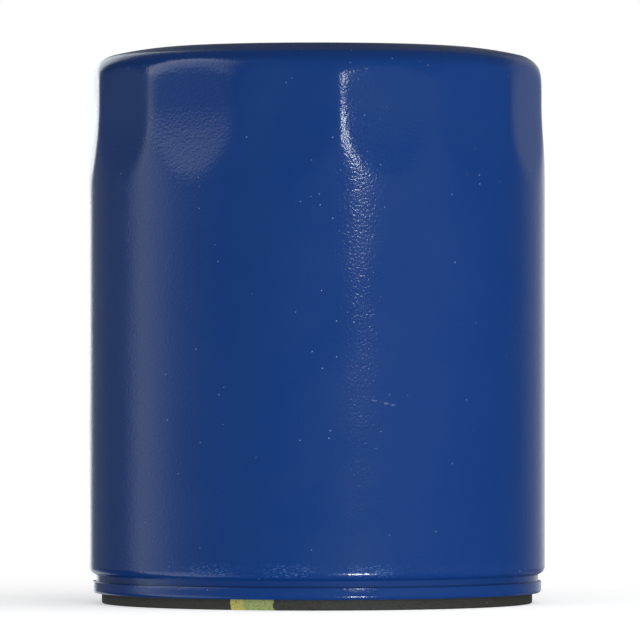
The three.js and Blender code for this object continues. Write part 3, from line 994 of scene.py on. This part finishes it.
def enamel(name, with_rub=False, bare_inside=None):
    """Gloss blue enamel with an orange-peel skin; inside a radius the sheet is left bare."""
    material, tree, shader, place = new_material(name, IOR=1.5)
    grain = grained(tree, place, 0.0004, 0.012)
    turning = use_group(tree, TURNING, {"Place": place, "Spacing": 0.0003})
    dust = speckled(tree, place, 0.0018, 0.06, 0.8)
    lint = speckled(tree, place, 0.011, 0.02, 0.6)
    marks = maths(tree, "MAXIMUM", times(tree, dust, 0.4), times(tree, lint, 0.6))
    wall = unrolled(tree, place, turning)
    for direction, share in ((12.0, 0.07), (68.0, 0.04)):
        scuffs = use_group(tree, SCUFFS, {"Place": wall, "Spacing": 0.006,
                                          "Width": 0.035, "Share": share, "Direction": direction})
        marks = maths(tree, "MAXIMUM", marks, times(tree, scuffs["Mask"], 0.12))
    colour = mix(tree, grain["Broad"], BLUE, PALE_BLUE)
    if with_rub:
        colour = toned(tree, colour, shoulder_rub(tree, turning, wall), 0.22, RUBBED_BLUE)
    colour = mix(tree, marks, colour, DUST)
    rough = remap(tree, grain["Broad"], 0.3, 0.7, 0.12, 0.18)
    rough = maths(tree, "MAXIMUM", rough, times(tree, marks, 0.6))
    ripple = clouds(tree, place, PEEL_SCALE, 1.0)
    waves = clouds(tree, place, WAVE_SCALE, 1.0)
    normal = raised(tree, waves, WAVE_HEIGHT)
    normal = raised(tree, ripple, PEEL_HEIGHT, normal)
    normal = raised(tree, marks, 0.00002, normal)
    if bare_inside is None:
        connect(tree, shader, Base_Color=colour, Roughness=rough, Normal=normal)
        return material
    ragged = maths(tree, "ADD", turning["Radius"], times(tree, ripple, 0.0004))
    painted = remap(tree, ragged, bare_inside, bare_inside + 0.00015)
    steel = mix(tree, remap(tree, turning["Rings"], 0.3, 0.7), BARE_STEEL, (0.34, 0.33, 0.31, 1.0))
    steel = mix(tree, remap(tree, grain["Broad"], 0.45, 0.75), steel, (0.27, 0.24, 0.19, 1.0))
    bare_rough = remap(tree, grain["Broad"], 0.3, 0.7, 0.28, 0.48)
    connect(tree, shader, Base_Color=mix(tree, painted, steel, colour),
            Roughness=mixed(tree, painted, bare_rough, rough),
            Metallic=maths(tree, "SUBTRACT", 1.0, painted),
            Normal=raised(tree, turning["Rings"], 0.00001, normal))
    return material


def gasket_rubber():
    """Matt nitrile with mould bloom, and the yellow and green dab that marks the batch."""
    material, tree, shader, place = new_material("gasket_rubber", IOR=1.48)
    grain = grained(tree, place, 0.00025, 0.004)
    dust = speckled(tree, place, 0.0016, 0.09, 0.45)
    turning = use_group(tree, TURNING, {"Place": place})
    wander = times(tree, maths(tree, "SUBTRACT", clouds(tree, place, 900.0), 0.5), 0.035)
    edge = maths(tree, "ADD", turning["Turn"], wander)
    soft = 0.004

    def past(angle):
        return remap(tree, edge, math.radians(angle) - soft, math.radians(angle) + soft)

    rubber = mix(tree, remap(tree, grain["Fine"], 0.35, 0.7), (0.018, 0.018, 0.014, 1.0),
                 (0.040, 0.040, 0.032, 1.0))
    rubber = toned(tree, rubber, dust, 0.5, (0.22, 0.21, 0.17, 1.0))
    dab = mix(tree, past(DAB_CHANGE), (0.42, 0.38, 0.085, 1.0), (0.25, 0.31, 0.10, 1.0))
    dab = mix(tree, remap(tree, grain["Fine"], 0.42, 0.7, 0.0, 0.75), dab, (0.11, 0.11, 0.04, 1.0))
    outside = remap(tree, turning["Radius"], 0.0352, 0.0355)
    within = times(tree, past(DAB_START), maths(tree, "SUBTRACT", 1.0, past(DAB_END)))
    within = times(tree, within, outside)
    rough = maths(tree, "SUBTRACT", remap(tree, grain["Fine"], 0.3, 0.7, 0.62, 0.82),
                  times(tree, within, 0.15))
    connect(tree, shader, Base_Color=mix(tree, within, rubber, dab), Roughness=rough,
            Normal=raised(tree, grain["Fine"], 0.00005))
    return material


def steel(name, light, dark, spacing, smooth, rough, oil=0.0):
    """Bare or plated steel: rings from forming, an uneven film, specks and brightened edges."""
    material, tree, shader, place = new_material(name)
    grain = grained(tree, place, 0.0002, 0.008)
    rings = use_group(tree, TURNING, {"Place": place, "Spacing": spacing})["Rings"]
    specks = speckled(tree, place, 0.002, 0.05, 0.35)
    worn = use_group(tree, EDGE_WEAR, {"Place": place})["Mask"]
    colour = mix(tree, remap(tree, grain["Broad"], 0.35, 0.7), light, dark)
    colour = toned(tree, colour, remap(tree, rings, 0.4, 0.7), 0.25, dark)
    colour = toned(tree, colour, worn, 0.5, (0.72, 0.71, 0.69, 1.0))
    colour = toned(tree, colour, specks, 0.4, (0.12, 0.10, 0.08, 1.0))
    film = remap(tree, grain["Broad"], 0.3, 0.7, smooth, rough)
    roughness = maths(tree, "ADD", film, times(tree, grain["Fine"], 0.1), clamp=True)
    normal = raised(tree, grain["Fine"], 0.000008)
    connect(tree, shader, Base_Color=colour, Roughness=roughness,
            Metallic=remap(tree, specks, 0.0, 1.0, 1.0, 0.6),
            Normal=raised(tree, rings, 0.00001, normal))
    if oil:
        wetness = remap(tree, grain["Broad"], 0.4, 0.6, oil * 0.5, oil)
        connect(tree, shader, Coat_Weight=wetness)
        shader.inputs["Coat Roughness"].default_value = 0.12
        shader.inputs["Coat Tint"].default_value = (0.98, 0.93, 0.8, 1.0)
    return material


def soft_compound(name, light, dark, size, smooth, rough, height):
    """Rubber, plastisol and lining compound: fine skin, broad bloom and a few dust specks."""
    material, tree, shader, place = new_material(name, IOR=1.48)
    grain = grained(tree, place, size, 0.006)
    specks = speckled(tree, place, 0.003, 0.05, 0.4)
    colour = mix(tree, remap(tree, grain["Broad"], 0.3, 0.7), light, dark)
    colour = toned(tree, colour, specks, 0.4, (0.4, 0.39, 0.36, 1.0))
    rough_film = remap(tree, grain["Fine"], 0.3, 0.7, smooth, rough)
    connect(tree, shader, Base_Color=colour, Roughness=rough_film,
            Normal=raised(tree, grain["Fine"], height))
    return material


def filter_paper():
    """Resin-treated cellulose: felted fibres, with the resin darker in patches and at the folds."""
    material, tree, shader, place = new_material("filter_paper", Sheen_Weight=0.15)
    grain = grained(tree, place, 0.00025, 0.007)
    squeezed = new_node(tree, "ShaderNodeMapping", {"Vector": place, "Scale": (1.0, 1.0, 0.2)})
    fibres = clouds(tree, squeezed.outputs[0], 3500.0, 4.0, 0.7)
    radius = use_group(tree, TURNING, {"Place": place})["Radius"]
    fold = remap(tree, radius, 0.0303, 0.0314)
    colour = mix(tree, remap(tree, fibres, 0.35, 0.65), (0.66, 0.50, 0.25, 1.0),
                 (0.52, 0.37, 0.16, 1.0))
    colour = mix(tree, remap(tree, grain["Broad"], 0.45, 0.75, 0.0, 0.5), colour,
                 (0.45, 0.30, 0.12, 1.0))
    colour = toned(tree, colour, fold, 0.35, (0.36, 0.23, 0.09, 1.0))
    rough = remap(tree, fibres, 0.3, 0.7, 0.78, 0.95)
    connect(tree, shader, Base_Color=colour, Roughness=rough,
            Normal=raised(tree, fibres, 0.00006))
    return material


# ---------- the pieces in their places ----------


def dress(piece, material, body, slot, *nodes):
    """Gives a piece its finish and body and hides the nodes it stands for; the slot is not used."""
    piece.data.materials.clear()
    piece.data.materials.append(material)
    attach(piece, body)
    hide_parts(*nodes)
    return piece


def build_body():
    dress(housing_can(), enamel("blue_enamel", with_rub=True), "filter_body", "blue_paint",
          "housing_can")
    dress(gasket_retainer(), enamel("seam_enamel", bare_inside=0.0359), "filter_body",
          "blue_paint", "gasket_retainer")
    lining = soft_compound("seam_lining", (0.50, 0.50, 0.45, 1.0), (0.38, 0.38, 0.33, 1.0),
                           0.0003, 0.5, 0.7, 0.00003)
    dress(seam_compound(), lining, "filter_body", "seam_compound", "seam_compound")
    dress(sealing_gasket(), gasket_rubber(), "filter_body", "gasket_rubber", "sealing_gasket")
    pressed = steel("pressed_steel", (0.44, 0.43, 0.41, 1.0), (0.30, 0.28, 0.25, 1.0),
                    0.0005, 0.24, 0.42, oil=0.4)
    dress(base_plate(), pressed, "filter_body", "pressed_steel", "base_plate")


def build_drainback_valve():
    rubber = soft_compound("valve_rubber", (0.022, 0.022, 0.022, 1.0), (0.034, 0.034, 0.033, 1.0),
                           0.0003, 0.38, 0.55, 0.00002)
    valve = drainback_valve()
    valve.data.materials.append(rubber)
    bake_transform(valve)
    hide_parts("drainback_valve_collar", "drainback_valve_lip")
    return rubber


def build_element(rubber):
    tinned = steel("tinned_sheet", (0.62, 0.61, 0.57, 1.0), (0.46, 0.44, 0.39, 1.0), 0.0004,
                   0.22, 0.38)
    plastisol = soft_compound("plastisol", (0.36, 0.34, 0.31, 1.0), (0.29, 0.27, 0.24, 1.0),
                              0.0005, 0.42, 0.6, 0.00003)
    drawn_wire = steel("drawn_wire", (0.24, 0.24, 0.25, 1.0), (0.15, 0.15, 0.16, 1.0), 0.0002,
                       0.28, 0.42, oil=0.3)
    for piece, finish, body, slot, node in (
        (lower_end_cap(), tinned, "element", "plated_steel", "lower_end_cap"),
        (upper_end_cap(), tinned, "element", "plated_steel", "upper_end_cap"),
        (potting("lower_plastisol", "lower_potting", 1), plastisol, "element", "potting",
         "lower_potting"),
        (potting("upper_plastisol", "upper_potting", -1), plastisol, "element", "potting",
         "upper_potting"),
        (pleated_media(), filter_paper(), "element", "filter_paper", "pleated_media"),
        (seam_clip(), tinned, "element", "plated_steel", "media_seam_clip"),
        (centre_tube(), tinned, "element", "plated_steel", "centre_tube"),
        (bypass_seat(), tinned, "element", "plated_steel", "bypass_seat"),
        (bypass_cage(), tinned, "element", "plated_steel", "bypass_cage"),
        (bypass_poppet(), tinned, "bypass_valve", "plated_steel", "bypass_poppet"),
        (bypass_seal(), rubber, "bypass_valve", "valve_rubber", "bypass_seal"),
    ):
        dress(piece, finish, body, slot, node)
    closing = dress(spring("valve_spring", "bypass_spring", 1.2, 5.0), drawn_wire, "element",
                    "spring_steel", "bypass_spring")
    squeeze(closing)
    pressing = dress(spring("element_coil", "element_spring", 2.2, 2.6), drawn_wire,
                     "filter_body", "spring_steel", "element_spring")
    squeeze(pressing)


def squeeze(piece):
    """Gives a spring a mesh of its own."""
    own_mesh(piece)


# ---------- the studio ----------

BACKDROP = 1.0
WHITE = (1.0, 1.0, 1.0, 1.0)
COOL_WHITE = (0.91, 0.97, 1.0, 1.0)
KEY_SIDE = (0.604, -0.720, 0.342)

# places and sizes in metres, the lens in millimetres
LAMP_SIDE = (0.215, -0.56)
LAMP_TARGET = (0.0, 0.0, 0.05)
LAMP_WIDTH = 0.045
LAMP_HEIGHT = 0.09
CAMERA_PLACE = (0.0005, -1.324, 0.0472)
LENS = 446.3

# the room's brightness by direction, in degrees round from the front, rightwards: at eye
# height, higher up, where the softbox on the left is brightest, and well overhead
EYE_LEVEL = (
    (-180, 0.08), (-177, 0.3), (-173, 1.9), (-166, 1.9), (-160, 0.22), (-147, 0.18), (-125, 0.16),
    (-112, 0.24), (-104, 0.80), (-100, 1.15), (-85, 0.78), (-74, 0.40), (-62, 0.24), (-48, 0.13),
    (-14, 0.11), (14, 0.18), (40, 0.26), (55, 0.26), (84, 0.12), (107, 0.07), (122, 0.09),
    (135, 0.22), (148, 0.36), (157, 0.50), (166, 0.9), (173, 0.9), (177, 0.3), (180, 0.08),
)
HIGHER = (
    (-180, 0.05), (-176, 0.06), (-172, 1.1), (-155, 1.1), (-149, 0.25), (-144, 0.07),
    (-108, 0.07), (-103, 2.4), (-88, 2.2), (-74, 1.7), (-62, 1.0), (-50, 0.3), (-36, 0.09),
    (0, 0.06), (60, 0.08), (120, 0.10), (145, 0.3), (164, 0.35), (173, 0.1), (180, 0.05),
)
OVERHEAD = (
    (-180, 0.06), (-108, 0.06), (-103, 2.4), (-88, 2.2), (-74, 1.7), (-62, 1.0), (-50, 0.3),
    (-36, 0.09), (0, 0.06), (180, 0.06),
)


def brightness_curve(tree, share, stops):
    """A node that gives the stops' brightness by the share of a turn."""
    brightest = max(level for _, level in stops)
    curve = new_node(tree, "ShaderNodeFloatCurve", {"Value": share})
    points = curve.mapping.curves[0].points
    for _ in stops[2:]:
        points.new(0.5, 0.5)
    for point, (degrees, level) in zip(points, stops):
        point.location = (degrees / 360 + 0.5, level / brightest)
        point.handle_type = "VECTOR"
    curve.mapping.update()
    return times(tree, curve.outputs[0], brightest)


def light_the_room():
    """White behind for the eye, soft light from the front right, and the softbox in gloss."""
    world = bpy.data.worlds.new("studio")
    bpy.context.scene.world = world
    world.use_nodes = True
    world.cycles.sampling_method = "NONE"
    tree = world.node_tree
    tree.nodes.clear()
    direction = new_node(tree, "ShaderNodeTexCoord").outputs["Generated"]
    axes = new_node(tree, "ShaderNodeSeparateXYZ", {0: direction}).outputs
    turn = maths(tree, "ARCTAN2", axes[0], times(tree, axes[1], -1.0))
    share = maths(tree, "ADD", maths(tree, "DIVIDE", turn, 2 * math.pi), 0.5)
    eye_level = brightness_curve(tree, share, EYE_LEVEL)
    higher = brightness_curve(tree, share, HIGHER)
    overhead = brightness_curve(tree, share, OVERHEAD)
    lift = maths(tree, "ABSOLUTE", axes[2])
    around = mixed(tree, remap(tree, lift, 0.09, 0.20), eye_level, higher)
    around = mixed(tree, remap(tree, lift, 0.32, 0.52), around, overhead)
    around = mixed(tree, remap(tree, lift, 0.76, 0.93), around, 0.06)
    gloss = times(tree, around, remap(tree, axes[2], -0.12, -0.05, 0.6, 1.0))
    facing = new_node(tree, "ShaderNodeVectorMath", {0: direction, 1: KEY_SIDE},
                      operation="DOT_PRODUCT").outputs["Value"]
    soft = maths(tree, "ADD", times(tree, facing, 0.95), 0.45)
    soft = maths(tree, "MAXIMUM", soft, 0.3)
    rays = new_node(tree, "ShaderNodeLightPath").outputs
    level = mixed(tree, rays["Is Glossy Ray"], soft, gloss)
    seen = mixed(tree, rays["Is Camera Ray"], level, BACKDROP)
    colour = mix(tree, rays["Is Glossy Ray"], WHITE, COOL_WHITE)
    glow = new_node(tree, "ShaderNodeBackground", {"Color": colour, "Strength": seen})
    output = new_node(tree, "ShaderNodeOutputWorld")
    tree.links.new(glow.outputs[0], output.inputs["Surface"])


def add_lamp(name, height, energy):
    """A small lamp at the front right, seen in the gloss as a narrow streak."""
    lamp = bpy.data.lights.new(name, "AREA")
    lamp.shape = "ELLIPSE"
    lamp.size = LAMP_WIDTH
    lamp.size_y = LAMP_HEIGHT
    lamp.energy = energy
    lamp.color = COOL_WHITE[:3]
    holder = bpy.data.objects.new(name, lamp)
    holder.location = (*LAMP_SIDE, height)
    towards = Vector(LAMP_TARGET) - holder.location
    holder.rotation_mode = "QUATERNION"
    holder.rotation_quaternion = towards.to_track_quat("-Z", "Y")
    bpy.context.scene.collection.objects.link(holder)


def lay_floor():
    """A plain pale disc to stand on, left out of the gloss and of the low lamp's way."""
    outline = rounded([(0.0, -4.0), (300.0, -4.0, 1.0), (300.0, 0.0, 1.0), (0.0, 0.0)])
    floor = turned("floor", outline, evenly(96))
    material, tree, shader, place = new_material("pale_floor", Roughness=0.9)
    tint = mix(tree, clouds(tree, place, 60.0), (0.80, 0.80, 0.80, 1.0), (0.82, 0.82, 0.82, 1.0))
    connect(tree, shader, Base_Color=tint)
    shader.inputs["Emission Strength"].default_value = 0.45
    shader.inputs["Emission Color"].default_value = WHITE
    shader.inputs["Specular IOR Level"].default_value = 0.0
    floor.visible_glossy = False
    floor.visible_shadow = False
    floor.data.materials.append(material)


def add_camera():
    camera = bpy.data.cameras.new("camera")
    camera.sensor_width = 36.0
    camera.lens = LENS
    holder = bpy.data.objects.new("camera", camera)
    holder.location = CAMERA_PLACE
    holder.rotation_euler = (math.pi / 2, 0.0, 0.0)
    bpy.context.scene.collection.objects.link(holder)
    bpy.context.scene.camera = holder


build_body()
valve_rubber = build_drainback_valve()
build_element(valve_rubber)
light_the_room()
add_lamp("small_lamp", 0.16, 0.3)
add_lamp("lamp_in_table", -0.24, 1.6)
lay_floor()
add_camera()
bpy.context.scene.view_settings.view_transform = "Standard"
